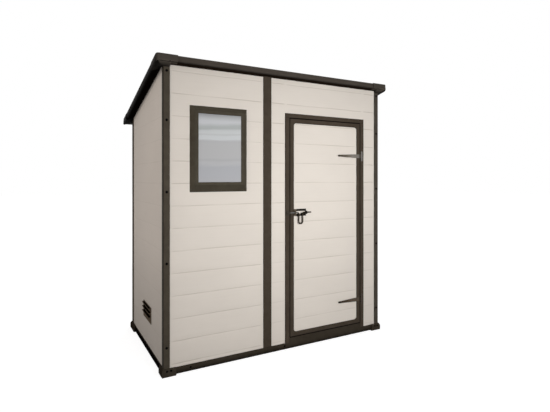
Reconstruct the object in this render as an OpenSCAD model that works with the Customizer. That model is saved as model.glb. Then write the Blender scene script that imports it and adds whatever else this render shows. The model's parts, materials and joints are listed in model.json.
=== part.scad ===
// Resin tool shed: pent roof falling to the back, one hinged door and one fixed window in the front.
// X runs to the right along the front, -Y is the front, +Z is up.
// The origin lies on the ground at the middle of the roof's outline. All sizes are in millimetres.

/* [Overall] */
// Width over the corner posts
post_span_x = 1740; // [1300:10:2400]
// Depth over the corner posts
post_span_y = 1015; // [700:5:1600]
// Height of the roof's top at its front edge
front_height = 1980; // [1850:10:2400]
// Height of the roof's top at its back edge
back_height = 1716; // [1500:2:2100]

/* [Roof] */
// How far the roof stands out past the side walls
roof_over_side = 49; // [30:1:120]
// How far the roof stands out past the front
roof_over_front = 32; // [26:1:120]
// How far the roof stands out past the back
roof_over_back = 92; // [30:1:160]
// Thickness of the roof panels
roof_panel_t = 20; // [12:1:40]
// Height of the fascia boards
fascia_h = 40; // [32:1:80]
// Thickness of the fascia boards
fascia_t = 8; // [4:1:16]
// How far the fascia stands above the roof panels
fascia_lip = 4; // [0:1:8]
// Height of the rails between the wall tops and the roof panels
rail_h = 19; // [10:1:40]
// How far the rails stand out past the faces of the walls
rail_proud = 4; // [1:1:6]
// Length of a corner cap along the front or the back
cap_len_x = 130; // [80:1:200]
// Length of a corner cap along a side
cap_len_y = 130; // [80:1:200]
// Thickness of a corner cap's skin over the fascia
cap_skin = 3; // [1:0.5:5]
// How much further out a corner cap stands at its lower edge
cap_flare = 5; // [0:0.5:10]
// Thickness of a corner cap over the fascia's top
cap_lip = 2; // [1:0.5:4]
// How far a corner cap's underside drops from the fascia's lower edge to the post
cap_drop = 4; // [2:1:20]
// Width of the beam under the roof
beam_w = 40; // [25:1:80]
// Depth of the beam under the roof
beam_h = 40; // [25:1:80]

/* [Walls and posts] */
// Thickness of the wall panels
wall_t = 20; // [12:1:30]
// How far the wall faces lie behind the post faces
wall_set_back = 6; // [5:1:12]
// Width of a corner post along the front
corner_post_x = 40; // [32:1:80]
// Width of a corner post along the side
corner_post_y = 42.5; // [32:0.5:80]
// Radius of a corner post's outer corner
corner_post_r = 5; // [1:1:10]
// Width of the centre posts
centre_post_w = 60; // [40:1:90]
// Depth of the centre posts
centre_post_t = 32; // [26:1:60]
// Distance of the centre posts to the left of the middle
centre_post_off = 147.6; // [100:0.1:200]

/* [Floor and feet] */
// Height of the floor's underside above the ground
floor_gap = 8; // [4:1:20]
// Thickness of the floor
floor_t = 37.5; // [25:0.5:60]
// Height of the corner feet
foot_h = 50; // [48:1:90]
// Length of a foot along each side
foot_len = 90; // [60:1:140]
// How far a foot stands out past the posts
foot_proud = 12; // [6:1:24]
// How far a foot's top stands out past the posts
foot_top_proud = 4; // [1:1:10]
// Height at which a foot's sloping shoulder starts
foot_shoulder = 34; // [20:1:45]

/* [Window] */
// Width over the window frame
window_w = 398; // [300:1:480]
// Height over the window frame
window_h = 554; // [400:1:640]
// Height of the window frame's top edge
window_top = 1689; // [1500:1:1750]
// Width of the frame's sides and top
window_member = 51; // [30:1:60]
// Height of the frame's bottom member
window_bottom_member = 64; // [30:1:80]
// How far the window frame stands out past the wall's face
window_proud = 25; // [14:1:26]
// Thickness of the frame's outer edge, where its sloping part starts
window_edge = 6; // [3:1:12]
// Width of the frame's sloping part
window_bevel = 24; // [8:1:28]
// How far the frame covers the edge of the hole in the wall
window_cover = 15; // [8:1:25]
// Thickness of the pane
pane_t = 4; // [2:0.5:6]
// Depth of the pane's edge in the frame's groove
pane_bite = 8; // [4:1:12]
// How far the pane lies behind the front of the frame
pane_set_back = 3; // [2:1:12]

/* [Door frame] */
// Width over the door frame
door_frame_w = 717; // [600:1:800]
// Height of the door frame's top edge
door_frame_top = 1689; // [1500:1:1750]
// Width of the jambs
jamb_w = 32.5; // [28:0.5:50]
// Height of the door head
head_h = 31; // [24:1:50]
// Height of the sill's top
sill_top = 80; // [60:1:110]
// How far the door frame stands out past the wall's face
frame_proud = 10; // [8:1:14]
// Width of the stop that the door closes against
stop_w = 14; // [8:1:20]
// Thickness of the stop
stop_t = 6; // [3:1:8]

/* [Door] */
// Gap around the door leaf
door_gap = 6; // [5:0.5:10]
// Thickness of the door's rim
leaf_t = 24; // [18:1:30]
// Width of the door's rim
rim_w = 31; // [24:1:60]
// Thickness of the door's panel
door_panel_t = 16; // [10:1:16]
// How far the panel's face lies behind the rim's face
door_panel_set_back = 6; // [2:1:6]

/* [Hinges] */
// Height of the upper hinge
upper_hinge_z = 1397; // [1100:1:1500]
// Height of the lower hinge
lower_hinge_z = 272; // [200:1:500]
// Length of the straps from the pin
strap_len = 216; // [120:1:300]
// Width of a strap at the pin
strap_w = 28; // [20:1:40]
// Width of a strap at its tip
strap_tip_w = 13; // [8:1:18]
// Length of the parallel part of a strap next to the pin
strap_parallel = 62; // [20:1:90]
// Thickness of straps and plates
hinge_t = 3; // [2:0.5:4]
// Radius of the knuckles
knuckle_r = 5; // [4.5:0.1:5.2]
// Radius of the pin
pin_r = 2.5; // [2:0.1:3]
// Height of the hinge plates on the jamb
plate_h = 76; // [60:1:120]
// Width of the hinge plates on the jamb
plate_w = 14; // [8:1:20]
// Distance from the knuckles to the hinge plates
plate_off = 3; // [1:0.5:6]
// Height of each of a plate's two knuckles
plate_knuckle_h = 10; // [6:1:16]

/* [Bolt] */
// Height of the bolt's axis
bolt_z = 976; // [700:1:1200]
// Diameter of the bolt's rod
rod_d = 9; // [7:0.5:11]
// Length of the bolt's body along the rod
bolt_body_l = 102; // [90:1:160]
// Height of the bolt's body
bolt_body_h = 51; // [40:1:70]
// Height of each of the body's two bars
bolt_bar_h = 11; // [6:1:14]
// Thickness of the body's plate
bolt_plate_t = 4; // [2:0.5:5]
// Distance from the rim's inner edge to the bolt's body
bolt_body_gap = 2; // [1:0.5:10]
// Width of each rod guide along the rod
guide_w = 8; // [6:1:12]
// Height of each rod guide
guide_h = 24; // [18:1:30]
// Length of the rod's free end past the body
rod_tail = 37; // [20:1:60]
// Half the width of the handle at the rod
handle_half = 26; // [25:0.5:28]
// Drop of the handle's flare, from the rod's axis to where its arms turn parallel
flare_drop = 17; // [10:1:18]
// Distance from the rod's axis to the bottom of the handle
handle_drop = 85; // [60:1:120]
// Width over the handle's loop
handle_w = 42; // [30:1:46]
// Width of the keeper along the rod
keeper_w = 25; // [16:1:26]
// Height of the keeper's plate
keeper_h = 38; // [30:1:60]
// Thickness of the keeper's plate
keeper_t = 2; // [1.5:0.5:3]
// Thickness of the keeper's loop around the rod
keeper_wall = 2.2; // [1.5:0.1:4]
// Thickness of the rod guides in front of the rod
guide_wall = 2.2; // [1.5:0.1:4]

/* [Vents] */
// Width of a side vent
vent_w = 238; // [150:1:300]
// Height of a side vent
vent_h = 112; // [100:1:160]
// Height of a vent's lower edge
vent_z = 219; // [120:1:600]
// Distance from the front of the posts to a vent
vent_y = 350; // [200:1:400]
// How far the louvres stand out past the wall
vent_proud = 16; // [12:1:40]
// Thickness of a vent's plate and of its blades' lips
vent_t = 4; // [3:0.5:6]
// Height of a blade's root, where it meets the vent's plate
vent_root = 5.6; // [4:0.1:8]
// Height of a blade's lip under the top of its share of the vent
vent_lip_drop = 2; // [0:0.5:6]
// Number of louvres in a vent
vent_louvres = 3; // [2:1:5]
// Width of the border at the ends of a vent's louvres
vent_border = 8; // [6:1:20]
// Height of a vent's plate under the louvres
vent_foot = 18; // [10:1:24]
// Height of a vent's plate over the louvres
vent_head = 4; // [2:1:12]
// Margin between a vent's outline and the hole behind it along the wall
vent_hole_margin_y = 40; // [20:1:60]
// Margin between a vent's outline and the hole behind it in height
vent_hole_margin_z = 9; // [6:1:20]

/* [Clearances] */
// Clearance between the pieces that are stacked under the roof's slope
seat_gap = 0.05; // [0.02:0.01:0.2]
// Clearance around the window frame and the pane in their seats
fit_gap = 1; // [0.5:0.1:2]
// Clearance around the hinge pins
pin_gap = 0.1; // [0.05:0.05:0.3]
// Clearance between the knuckles and the door frame's face
knuckle_clear = 0.5; // [0.3:0.1:2]
// Clearance between the knuckles, along the pin
knuckle_gap = 0.4; // [0.3:0.1:1]
// Clearance between the rod and the door frame's face
rod_clear = 3; // [2:0.5:6]
// Clearance around the rod in its guides
rod_gap = 0.3; // [0.2:0.05:0.6]
// Clearance around the rod in its keeper
keeper_gap = 0.8; // [0.5:0.1:1]
// Clearance between the rod's end and the keeper when the bolt is drawn
draw_gap = 5; // [5:0.5:8]

/* [Hidden] */
$fn = 48;
// How far a cutting solid runs past what it cuts, and how deep joined solids run into each other
past = 1;
// Thickness of the slabs that the tapered pieces are spanned between
slab = 1;
// Sides of the handle's round bar, and the steps of each quarter of its bends
bar_sides = 18;
bend_steps = 8;

// Outline of the posts, which is also the floor's outline
left = -post_span_x / 2;
right = post_span_x / 2;
roof_x = post_span_x / 2 + roof_over_side;
roof_y = (post_span_y + roof_over_front + roof_over_back) / 2;
front = -roof_y + roof_over_front;
back = roof_y - roof_over_back;

// Faces of the walls
wall_front = front + wall_set_back;
wall_back = back - wall_set_back;
wall_left = left + wall_set_back;
wall_right = right - wall_set_back;

// Heights
slope = (front_height - back_height) / (2 * roof_y);
floor_top = floor_gap + floor_t;
panel_under = fascia_lip + roof_panel_t;
post_under = panel_under + seat_gap;
rail_under = post_under + rail_h;
wall_under = rail_under + seat_gap;

// Centre posts
centre_x = -centre_post_off;
centre_left = centre_x - centre_post_w / 2;
centre_right = centre_x + centre_post_w / 2;
bay_left = left + corner_post_x;
bay_right = right - corner_post_x;
side_front = front + corner_post_y;
side_back = back - corner_post_y;

// Window
window_x0 = (bay_left + centre_left) / 2 - window_w / 2;
window_x1 = window_x0 + window_w;
window_z0 = window_top - window_h;
window_face = wall_front - window_proud;
pane_front = window_face + pane_set_back;

// Door frame and leaf
frame_x0 = (centre_right + bay_right) / 2 - door_frame_w / 2;
frame_x1 = frame_x0 + door_frame_w;
frame_face = wall_front - frame_proud;
stop_face = frame_face + leaf_t + door_gap;
frame_back = stop_face + stop_t;
head_z = door_frame_top - head_h;
leaf_x0 = frame_x0 + jamb_w + door_gap;
leaf_x1 = frame_x1 - jamb_w - door_gap;
leaf_z0 = sill_top + door_gap;
leaf_z1 = head_z - door_gap;
panel_face = frame_face + door_panel_set_back;

// Hinge pins
pin_x = leaf_x1 + door_gap / 2;
pin_y = frame_face - knuckle_clear - knuckle_r;
hinge_heights = [lower_hinge_z, upper_hinge_z];

// Bolt
rod_y = frame_face - rod_clear - rod_d / 2;
body_x0 = leaf_x0 + rim_w + bolt_body_gap;
body_x1 = body_x0 + bolt_body_l;
body_mid = (body_x0 + body_x1) / 2;
keeper_x1 = frame_x0 + (jamb_w + keeper_w) / 2;
rod_x0 = keeper_x1 + draw_gap;
rod_x1 = body_x1 + rod_tail;

cream = "#d9d0c5";
brown = "#4a423a";
roof_brown = "#44403b";
steel = "#8b8984";
iron = "#3a3733";
frosted = "#b4b5b7";

// Height of the roof's top at a place from front to back
function roof_top(y) = front_height - (y + roof_y) * slope;

// A box between two corners
module block(low, high) {
    translate(low)
        cube(high - low);
}

// A prism along X, whose outline is given as [y, z] points
module along_x(x0, x1, outline) {
    translate([x0, 0, 0])
        rotate([90, 0, 90])
            linear_extrude(x1 - x0)
                polygon(outline);
}

// A piece that runs from a flat bottom up to a plane at a given depth under the roof's top
module up_to_roof(x0, x1, y0, y1, z0, under) {
    along_x(x0, x1, [[y0, z0], [y1, z0], [y1, roof_top(y1) - under], [y0, roof_top(y0) - under]]);
}

// A piece that lies along the roof's slope, between two depths under its top
module under_roof(x0, x1, y0, y1, upper, lower) {
    along_x(x0, x1, [
        [y0, roof_top(y0) - lower], [y1, roof_top(y1) - lower],
        [y1, roof_top(y1) - upper], [y0, roof_top(y0) - upper]
    ]);
}

// Floor: two panels that meet under the centre posts
module floor_left() {
    color(brown)
        block([left, front, floor_gap], [centre_x, back, floor_top]);
}

module floor_right() {
    color(brown)
        block([centre_x, front, floor_gap], [right, back, floor_top]);
}

// One corner foot, for the corner that sx and sy point to
module corner_foot(sx, sy) {
    corner_x = sx * right;
    corner_y = sy > 0 ? back : front;
    difference() {
        hull() {
            foot_slab(corner_x, corner_y, sx, sy, foot_proud, 0, foot_shoulder);
            foot_slab(corner_x, corner_y, sx, sy, foot_top_proud, foot_h - slab, foot_h);
        }
        block([left, front, floor_gap], [right, back, foot_h + past]);
    }
}

// A slab around a corner, which stands out past the posts by the given amount
module foot_slab(corner_x, corner_y, sx, sy, proud, z0, z1) {
    far = foot_len - foot_proud + proud;
    xs = [corner_x + sx * proud, corner_x + sx * (proud - far)];
    ys = [corner_y + sy * proud, corner_y + sy * (proud - far)];
    block([min(xs), min(ys), z0], [max(xs), max(ys), z1]);
}

module corner_feet() {
    color(brown)
        for (sx = [-1, 1], sy = [-1, 1])
            corner_foot(sx, sy);
}

// One corner post, with its outer corner rounded
module corner_post(sx, sy) {
    x0 = sx < 0 ? left : bay_right;
    y0 = sy < 0 ? front : side_back;
    corner_x = sx * right;
    corner_y = sy > 0 ? back : front;
    color(brown)
        difference() {
            up_to_roof(x0, x0 + corner_post_x, y0, y0 + corner_post_y, floor_top, post_under);
            translate([corner_x, corner_y, 0])
                scale([-sx, -sy, 1])
                    corner_cutter(corner_post_r);
        }
}

// What a rounded corner of a post loses, for a corner at the origin
module corner_cutter(r) {
    linear_extrude(front_height + past)
        difference() {
            translate([-past, -past])
                square(r + past);
            translate([r, r])
                circle(r);
        }
}

module front_left_post() {
    corner_post(-1, -1);
}

module front_right_post() {
    corner_post(1, -1);
}

module back_left_post() {
    corner_post(-1, 1);
}

module back_right_post() {
    corner_post(1, 1);
}

module front_centre_post() {
    color(brown)
        up_to_roof(centre_left, centre_right, front, front + centre_post_t, floor_top, post_under);
}

module back_centre_post() {
    color(brown)
        up_to_roof(centre_left, centre_right, back - centre_post_t, back, floor_top, post_under);
}

// A stretch of the front wall, from a given height to the roof
module front_panel(x0, x1, z0) {
    color(cream)
        up_to_roof(x0, x1, wall_front, wall_front + wall_t, z0, wall_under);
}

module window_wall() {
    difference() {
        front_panel(bay_left, centre_left, floor_top);
        color(cream)
            block(
                [window_x0 + window_cover, wall_front - past, window_z0 + window_cover],
                [window_x1 - window_cover, wall_front + wall_t + past, window_top - window_cover]
            );
    }
}

module wall_left_of_door() {
    front_panel(centre_right, frame_x0, floor_top);
}

module wall_right_of_door() {
    front_panel(frame_x1, bay_right, floor_top);
}

module wall_over_door() {
    front_panel(frame_x0, frame_x1, door_frame_top);
}

// A side wall, with the hole behind its vent
module side_wall(x0) {
    color(cream)
        difference() {
            up_to_roof(x0, x0 + wall_t, side_front, side_back, floor_top, wall_under);
            block(
                [x0 - past, front + vent_y + vent_hole_margin_y, vent_z + vent_hole_margin_z],
                [
                    x0 + wall_t + past,
                    front + vent_y + vent_w - vent_hole_margin_y,
                    vent_z + vent_h - vent_hole_margin_z
                ]
            );
        }
}

module left_wall() {
    side_wall(wall_left);
}

module right_wall() {
    side_wall(wall_right - wall_t);
}

// A stretch of the back wall
module back_panel(x0, x1) {
    color(cream)
        up_to_roof(x0, x1, wall_back - wall_t, wall_back, floor_top, wall_under);
}

module back_wall_left() {
    back_panel(bay_left, centre_left);
}

module back_wall_right() {
    back_panel(centre_right, bay_right);
}

// The window frame's outer block: a flat edge on the wall's face, then a slope up to a smaller front
module window_block() {
    hull() {
        block(
            [window_x0, wall_front - window_edge, window_z0],
            [window_x1, wall_front, window_top]
        );
        block(
            [window_x0 + window_bevel, window_face, window_z0 + window_bevel],
            [window_x1 - window_bevel, wall_front, window_top - window_bevel]
        );
    }
}

// Window frame: a flange over the wall's face, a body through the wall, and a groove for the pane
module window_frame() {
    inner_x0 = window_x0 + window_member;
    inner_x1 = window_x1 - window_member;
    inner_z0 = window_z0 + window_bottom_member;
    inner_z1 = window_top - window_member;
    body_gap = window_cover + fit_gap;
    color(brown)
        difference() {
            union() {
                window_block();
                block(
                    [window_x0 + body_gap, wall_front - window_edge, window_z0 + body_gap],
                    [window_x1 - body_gap, wall_front + wall_t, window_top - body_gap]
                );
            }
            block(
                [inner_x0, window_face - past, inner_z0],
                [inner_x1, wall_front + wall_t + past, inner_z1]
            );
            block(
                [inner_x0 - pane_bite - fit_gap, pane_front, inner_z0 - pane_bite],
                [inner_x1 + pane_bite + fit_gap, pane_front + pane_t, inner_z1 + pane_bite + fit_gap]
            );
        }
}

module window_pane() {
    color(frosted)
        block(
            [
                window_x0 + window_member - pane_bite,
                pane_front,
                window_z0 + window_bottom_member - pane_bite
            ],
            [
                window_x1 - window_member + pane_bite,
                pane_front + pane_t,
                window_top - window_member + pane_bite
            ]
        );
}

// Door frame: two jambs, a head and a sill, each with a stop behind the leaf
module door_jamb_left() {
    color(brown)
        union() {
            block([frame_x0, frame_face, floor_top], [frame_x0 + jamb_w, frame_back, head_z]);
            block(
                [frame_x0 + jamb_w - past, stop_face, sill_top],
                [frame_x0 + jamb_w + stop_w, frame_back, head_z]
            );
        }
}

module door_jamb_right() {
    color(brown)
        union() {
            block([frame_x1 - jamb_w, frame_face, floor_top], [frame_x1, frame_back, head_z]);
            block(
                [frame_x1 - jamb_w - stop_w, stop_face, sill_top],
                [frame_x1 - jamb_w + past, frame_back, head_z]
            );
        }
}

module door_head() {
    color(brown)
        union() {
            block([frame_x0, frame_face, head_z], [frame_x1, frame_back, door_frame_top]);
            block(
                [frame_x0 + jamb_w + stop_w, stop_face, head_z - stop_w],
                [frame_x1 - jamb_w - stop_w, frame_back, head_z + past]
            );
        }
}

module door_sill() {
    color(brown)
        union() {
            block([frame_x0, frame_face, floor_gap], [frame_x1, front, floor_top]);
            block(
                [frame_x0 + jamb_w, frame_face, floor_top],
                [frame_x1 - jamb_w, frame_back, sill_top]
            );
            block(
                [frame_x0 + jamb_w + stop_w, stop_face, floor_top],
                [frame_x1 - jamb_w - stop_w, frame_back, sill_top + stop_w]
            );
        }
}

// A vent on the left wall: a plate with slots, an upright blade over each slot and a cheek at each end
module vent() {
    y0 = front + vent_y;
    y1 = y0 + vent_w;
    pitch = (vent_h - vent_foot - vent_head) / vent_louvres;
    slot_h = pitch / 2;
    plate_x = wall_left - vent_t;
    lip_x = wall_left - vent_proud;
    hole_y0 = y0 + vent_hole_margin_y;
    hole_y1 = y1 - vent_hole_margin_y;
    difference() {
        block([plate_x, y0, vent_z], [wall_left, y1, vent_z + vent_h]);
        for (i = [0:vent_louvres - 1])
            vent_slot(hole_y0, hole_y1, vent_z + vent_foot + i * pitch + pitch / 3, slot_h);
    }
    for (i = [0:vent_louvres - 1])
        louvre(y0, y1, lip_x, plate_x, vent_z + vent_foot + i * pitch, pitch);
}

// A slot through a vent's plate
module vent_slot(y0, y1, z0, height) {
    block([wall_left - vent_t - past, y0, z0], [wall_left + past, y1, z0 + height]);
}

// One louvre: a blade that slopes out and up from its root, closed by a cheek at each end
module louvre(y0, y1, lip_x, plate_x, z0, pitch) {
    root_x = plate_x + vent_t / 2;
    blade_y0 = y0 + vent_border;
    blade_y1 = y1 - vent_border;
    lip_z = z0 + pitch - vent_lip_drop;
    along_y(blade_y0, blade_y1, [
        [root_x, z0], [lip_x, lip_z - vent_t], [lip_x, lip_z], [root_x, z0 + vent_root]
    ]);
    for (cheek_y = [blade_y0, blade_y1 - vent_t])
        along_y(cheek_y, cheek_y + vent_t, [
            [root_x, z0], [lip_x, lip_z - vent_t], [lip_x, lip_z], [root_x, lip_z]
        ]);
}

// A prism along Y, whose outline is given as [x, z] points
module along_y(y0, y1, outline) {
    translate([0, y1, 0])
        rotate([90, 0, 0])
            linear_extrude(y1 - y0)
                polygon(outline);
}

module left_vent() {
    color(iron)
        vent();
}

module right_vent() {
    color(iron)
        mirror([1, 0, 0])
            vent();
}

// Rails on the wall tops, between the posts
module wall_top_rails() {
    color(roof_brown) {
        for (bay = [[bay_left, centre_left], [centre_right, bay_right]]) {
            under_roof(
                bay[0], bay[1], wall_front - rail_proud, wall_front + wall_t + rail_proud,
                post_under, rail_under
            );
            under_roof(
                bay[0], bay[1], wall_back - wall_t - rail_proud, wall_back + rail_proud,
                post_under, rail_under
            );
        }
        for (x0 = [wall_left - rail_proud, wall_right - wall_t - rail_proud])
            under_roof(x0, x0 + wall_t + 2 * rail_proud, side_front, side_back, post_under, rail_under);
    }
}

module roof_beam() {
    color(steel)
        under_roof(
            centre_x - beam_w / 2, centre_x + beam_w / 2,
            front + centre_post_t, back - centre_post_t, post_under, post_under + beam_h
        );
}

// Roof panels: they meet over the beam
module roof_panel(x0, x1) {
    color(roof_brown)
        under_roof(x0, x1, -roof_y + fascia_t, roof_y - fascia_t, fascia_lip, panel_under);
}

module roof_panel_left() {
    roof_panel(-roof_x + fascia_t, centre_x);
}

module roof_panel_right() {
    roof_panel(centre_x, roof_x - fascia_t);
}

module fascia_front() {
    color(roof_brown)
        under_roof(-roof_x, roof_x, -roof_y, -roof_y + fascia_t, 0, fascia_h);
}

module fascia_back() {
    color(roof_brown)
        under_roof(-roof_x, roof_x, roof_y - fascia_t, roof_y, 0, fascia_h);
}

module fascia_left() {
    color(roof_brown)
        under_roof(-roof_x, -roof_x + fascia_t, -roof_y + fascia_t, roof_y - fascia_t, 0, fascia_h);
}

module fascia_right() {
    color(roof_brown)
        under_roof(roof_x - fascia_t, roof_x, -roof_y + fascia_t, roof_y - fascia_t, 0, fascia_h);
}

// A slab of a corner cap, from its outer corner inwards, between two depths under the roof's top
module cap_slab(sx, sy, out_x, out_y, len_x, len_y, upper, lower) {
    xs = [sx * out_x, sx * (out_x - len_x)];
    ys = [sy * out_y, sy * (out_y - len_y)];
    under_roof(min(xs), max(xs), min(ys), max(ys), upper, lower);
}

// A corner cap's slab over the fascia, standing out by the given amount
module cap_skin_slab(sx, sy, proud, upper, lower) {
    cap_slab(sx, sy, roof_x + proud, roof_y + proud, cap_len_x + proud, cap_len_y + proud, upper, lower);
}

// One corner cap: a skin over the fascia, and an underside that closes the overhang at the post
module corner_cap(sx, sy) {
    over_y = sy > 0 ? roof_over_back : roof_over_front;
    inner_x = roof_x - fascia_t;
    inner_y = roof_y - fascia_t;
    difference() {
        hull() {
            cap_skin_slab(sx, sy, cap_skin, -cap_lip, 0);
            cap_skin_slab(sx, sy, cap_skin + cap_flare, fascia_h, fascia_h + slab);
            cap_slab(
                sx, sy, roof_x - roof_over_side + slab, roof_y - over_y + slab,
                corner_post_x + slab, corner_post_y + slab,
                fascia_h + cap_drop - slab, fascia_h + cap_drop
            );
        }
        under_roof(-roof_x, roof_x, -roof_y, roof_y, 0, fascia_h + seat_gap);
        under_roof(-inner_x, inner_x, -inner_y, inner_y, -cap_lip - past, past);
        block([left, front, 0], [right, back, front_height + past]);
    }
}

module roof_corner_caps() {
    color(roof_brown)
        for (sx = [-1, 1], sy = [-1, 1])
            corner_cap(sx, sy);
}

// A round bar along Z at the hinge pins' axis
module on_pin(r, z0, z1) {
    translate([pin_x, pin_y, z0])
        cylinder(r = r, h = z1 - z0);
}

// The fixed half of a hinge: a plate on the jamb, two knuckles, and the pin between them
module hinge_plate(z) {
    plate_x = pin_x + knuckle_r + plate_off;
    half = strap_w / 2;
    for (s = [-1, 1]) {
        z0 = z + (s > 0 ? half + knuckle_gap : -half - knuckle_gap - plate_knuckle_h);
        difference() {
            union() {
                on_pin(knuckle_r, z0, z0 + plate_knuckle_h);
                block([pin_x, frame_face - hinge_t, z0], [plate_x + past, frame_face, z0 + plate_knuckle_h]);
            }
            on_pin(pin_r, z0 - past, z0 + plate_knuckle_h + past);
        }
    }
    on_pin(pin_r, z - half - knuckle_gap - plate_knuckle_h, z + half + knuckle_gap + plate_knuckle_h);
    block([plate_x, frame_face - hinge_t, z - plate_h / 2], [plate_x + plate_w, frame_face, z + plate_h / 2]);
}

module hinge_plates() {
    color(steel)
        for (z = hinge_heights)
            hinge_plate(z);
}

// The moving half of a hinge: a knuckle and a strap that narrows to a round tip
module hinge_strap(z) {
    half = strap_w / 2;
    tip_r = strap_tip_w / 2;
    difference() {
        union() {
            on_pin(knuckle_r, z - half, z + half);
            translate([0, frame_face, 0])
                rotate([90, 0, 0])
                    linear_extrude(hinge_t)
                        strap_outline(z, half, tip_r);
        }
        on_pin(pin_r + pin_gap, z - half - past, z + half + past);
    }
}

// Outline of a strap in X and Z
module strap_outline(z, half, tip_r) {
    tip_x = pin_x - strap_len + tip_r;
    taper_x = pin_x - strap_parallel;
    union() {
        polygon([
            [pin_x, z - half], [pin_x, z + half], [taper_x, z + half],
            [tip_x, z + tip_r], [tip_x, z - tip_r], [taper_x, z - half]
        ]);
        translate([tip_x, z])
            circle(tip_r);
    }
}

module hinge_straps() {
    color(steel)
        for (z = hinge_heights)
            hinge_strap(z);
}

// Door leaf: a rim around a panel
module door_rim() {
    color(brown)
        difference() {
            block([leaf_x0, frame_face, leaf_z0], [leaf_x1, frame_face + leaf_t, leaf_z1]);
            block(
                [leaf_x0 + rim_w, frame_face - past, leaf_z0 + rim_w],
                [leaf_x1 - rim_w, frame_face + leaf_t + past, leaf_z1 - rim_w]
            );
        }
}

module door_panel() {
    color(cream)
        block(
            [leaf_x0 + rim_w, panel_face, leaf_z0 + rim_w],
            [leaf_x1 - rim_w, panel_face + door_panel_t, leaf_z1 - rim_w]
        );
}

// A round bar along X at the bolt's axis
module on_rod(r, x0, x1) {
    translate([x0, rod_y, bolt_z])
        rotate([0, 90, 0])
            cylinder(r = r, h = x1 - x0);
}

// Bolt body: an open plate on the door's panel, with a rod guide at each end
module bolt_body() {
    half = bolt_body_h / 2;
    window_half = half - bolt_bar_h;
    guide_front = rod_y - rod_d / 2 - rod_gap - guide_wall;
    color(iron)
        difference() {
            union() {
                difference() {
                    block(
                        [body_x0, panel_face - bolt_plate_t, bolt_z - half],
                        [body_x1, panel_face, bolt_z + half]
                    );
                    block(
                        [body_x0 + guide_w, panel_face - bolt_plate_t - past, bolt_z - window_half],
                        [body_x1 - guide_w, panel_face + past, bolt_z + window_half]
                    );
                }
                for (x0 = [body_x0, body_x1 - guide_w])
                    block(
                        [x0, guide_front, bolt_z - guide_h / 2],
                        [x0 + guide_w, panel_face, bolt_z + guide_h / 2]
                    );
            }
            on_rod(rod_d / 2 + rod_gap, body_x0 - past, body_x1 + past);
        }
}

// Keeper on the left jamb: a plate with a loop that takes the rod's end
module bolt_keeper() {
    loop_r = rod_d / 2 + keeper_gap;
    loop_half = loop_r + keeper_wall;
    x0 = keeper_x1 - keeper_w;
    color(iron)
        difference() {
            union() {
                block(
                    [x0, frame_face - keeper_t, bolt_z - keeper_h / 2],
                    [keeper_x1, frame_face, bolt_z + keeper_h / 2]
                );
                block(
                    [x0, rod_y - loop_half, bolt_z - loop_half],
                    [keeper_x1, frame_face, bolt_z + loop_half]
                );
            }
            on_rod(loop_r, x0 - past, keeper_x1 + past);
        }
}

// The rod's two straight ends
module bolt_rod() {
    color(iron) {
        on_rod(rod_d / 2, rod_x0, body_mid - handle_half);
        on_rod(rod_d / 2, body_mid + handle_half, rod_x1);
    }
}

// Middle line of the handle's left half, as [x, z] points from the rod's axis:
// a quarter of an ellipse down to the arm, then a quarter of a circle round to the lowest point
arm = (handle_w - rod_d) / 2;
loop_z = -handle_drop + rod_d / 2 + arm;
left_half = concat(
    [for (i = [0:bend_steps]) let (a = i * 90 / bend_steps)
        [-handle_half + (handle_half - arm) * sin(a), -flare_drop * (1 - cos(a))]],
    [for (i = [0:bend_steps]) let (a = 180 + i * 90 / bend_steps)
        [arm * cos(a), loop_z + arm * sin(a)]]
);
last = len(left_half) - 1;
handle_line = concat(left_half, [for (i = [last - 1:-1:0]) [-left_half[i][0], left_half[i][1]]]);

// Direction of the handle's line at a point; it starts and ends along the rod
function unit(v) = v / norm(v);
function line_dir(line, i) =
    i == 0 || i == len(line) - 1 ? [1, 0] : unit(unit(line[i + 1] - line[i]) + unit(line[i] - line[i - 1]));

// A ring of points around the line
function bar_ring(line, i, r) =
    let (d = line_dir(line, i))
    [for (k = [0:bar_sides - 1]) let (a = k * 360 / bar_sides)
        [line[i][0] - d[1] * r * cos(a), r * sin(a), line[i][1] + d[0] * r * cos(a)]];

// A round bar bent along a line that lies in X and Z
module bent_bar(line, r) {
    rings = len(line);
    points = [for (i = [0:rings - 1]) each bar_ring(line, i, r)];
    sides = [
        for (i = [0:rings - 2], k = [0:bar_sides - 1]) let (next = (k + 1) % bar_sides)
            [i * bar_sides + k, i * bar_sides + next, (i + 1) * bar_sides + next, (i + 1) * bar_sides + k]
    ];
    first_cap = [for (k = [bar_sides - 1:-1:0]) k];
    last_cap = [for (k = [0:bar_sides - 1]) (rings - 1) * bar_sides + k];
    polyhedron(points, concat(sides, [first_cap, last_cap]));
}

// The bent middle of the rod, which hangs down as the handle
module bolt_handle() {
    color(iron)
        translate([body_mid, rod_y, bolt_z])
            bent_bar(handle_line, rod_d / 2);
}

floor_left();
floor_right();
corner_feet();
front_left_post();
front_right_post();
back_left_post();
back_right_post();
front_centre_post();
back_centre_post();
window_wall();
wall_left_of_door();
wall_right_of_door();
wall_over_door();
left_wall();
right_wall();
back_wall_left();
back_wall_right();
window_frame();
window_pane();
door_jamb_left();
door_jamb_right();
door_head();
door_sill();
left_vent();
right_vent();
wall_top_rails();
roof_beam();
roof_panel_left();
roof_panel_right();
fascia_front();
fascia_back();
fascia_left();
fascia_right();
roof_corner_caps();
hinge_plates();
bolt_keeper();
door_panel();
door_rim();
hinge_straps();
bolt_body();
bolt_rod();
bolt_handle();
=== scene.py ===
"""Looks of the resin tool shed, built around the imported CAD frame.

Metres, in the CAD's own axes: X runs to the right along the front, -Y is the front, +Z is up.
Each sub-part has its own function; sizes come from the frame's nodes, and what the CAD leaves to the
looks (board lines, screws, mouldings) is named in millimetres below and turned into metres by MM.
"""

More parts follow.
